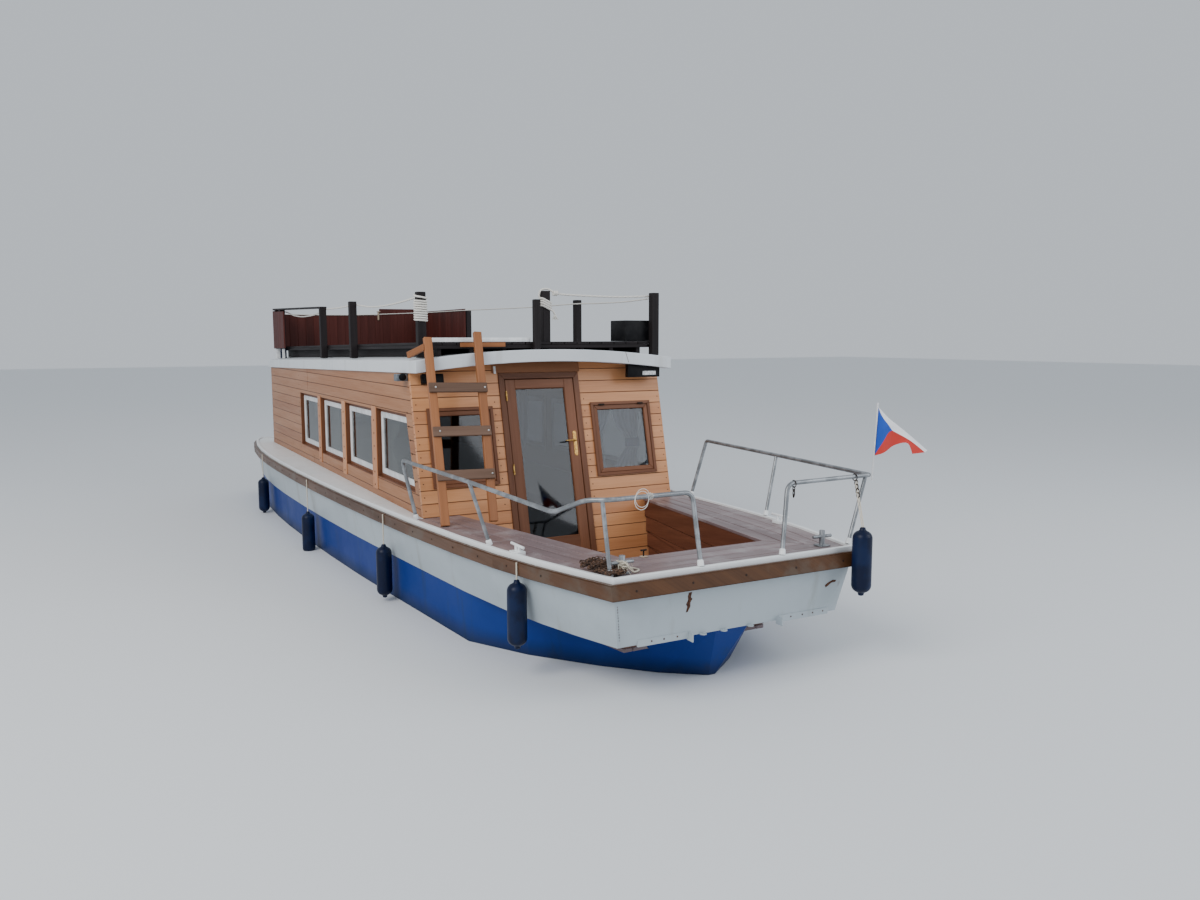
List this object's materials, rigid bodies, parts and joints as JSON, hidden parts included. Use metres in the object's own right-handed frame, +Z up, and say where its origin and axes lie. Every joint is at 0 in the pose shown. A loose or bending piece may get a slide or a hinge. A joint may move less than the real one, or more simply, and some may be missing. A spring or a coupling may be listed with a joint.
{
  "type": "houseboat",
  "caption": "Canal-type houseboat with a planked cabin, an open bow cockpit with bench decks, tube rails, a boarding ladder and a railed roof deck.",
  "frame": {"origin": "on the waterline amidships, on the centre plane", "axes": "+X towards the bow, +Y to port, +Z up; z 0 is the water surface"},
  "size_m": [11.4528, 3.6075, 3.455],
  "materials": {
    "white_paint": "satin, streaked",
    "blue_paint": "satin",
    "varnished_wood": "worn varnish",
    "bench_wood": "oiled, weathered",
    "lining_wood": "stained",
    "sole_covering": "matte",
    "cabin_planks": "varnished",
    "joinery": "satin stain",
    "window_glass": "clear",
    "brass": "worn",
    "window_sash": "gloss",
    "dark_timber": "weathered",
    "panel_boards": "stained",
    "black_plastic": "matte",
    "galvanised_steel": "weathered",
    "ladder_timber": "varnished",
    "navy_vinyl": "satin",
    "flag_cloth": "woven"
  },
  "bodies": {
    "hull": {"hull_topsides": "white_paint", "hull_bottom": "blue_paint", "deck_edge_trim": "white_paint", "white_deck": "white_paint", "cleat_port": "white_paint", "cleat_starboard": "white_paint", "rub_rail": "varnished_wood", "cockpit_bench": "bench_wood", "cockpit_lining": "lining_wood", "cockpit_sole": "bench_wood", "cabin_sole": "sole_covering", "cabin_front": "cabin_planks", "cabin_starboard": "cabin_planks", "cabin_port": "cabin_planks", "cabin_aft": "cabin_planks", "door_frame": "joinery", "front_window_frame_starboard": "joinery", "front_window_pane_starboard": "window_glass", "front_window_frame_port": "joinery", "front_window_pane_port": "window_glass", "side_windows_starboard": "window_sash", "side_windows_port": "window_sash", "aft_window": "window_sash", "roof": "white_paint", "roof_deck_frame": "dark_timber", "roof_deck_boards": "dark_timber", "roof_deck_panels": "panel_boards", "roof_deck_box": "black_plastic", "boarding_sill": "galvanised_steel", "ladder": "ladder_timber", "rail_starboard": "galvanised_steel", "rail_port": "galvanised_steel", "bitt_port": "galvanised_steel", "bitt_starboard": "galvanised_steel", "fender_bow": "navy_vinyl", "fender_waist": "navy_vinyl", "fender_quarter": "navy_vinyl", "fender_stern": "navy_vinyl", "fender_port": "navy_vinyl", "flag_staff": "white_paint", "flag": "flag_cloth", "light_bar": "black_plastic", "lamp_front": "black_plastic", "lamp_side": "black_plastic"},
    "door": {"door_leaf": "joinery", "door_glass": "window_glass", "door_handle": "brass"},
    "propeller": {"propeller": "brass"},
    "rudder": {"rudder": "blue_paint"}
  },
  "joints": [
    {"name": "cabin_door", "type": "hinge", "parent": "hull", "child": "door", "pos_m": [2.59541, -0.407, 0.88019], "axis": [0.2256, 0, -0.9742], "range_deg": [0, 100]},
    {"name": "rudder_turn", "type": "hinge", "parent": "hull", "child": "rudder", "pos_m": [-5.16, 0, -0.25], "axis": [0, 0, 1], "range_deg": [-35, 35]},
    {"name": "propeller_spin", "type": "hinge", "parent": "hull", "child": "propeller", "pos_m": [-4.85, 0, -0.245], "axis": [1, 0, 0], "continuous": true}
  ]
}
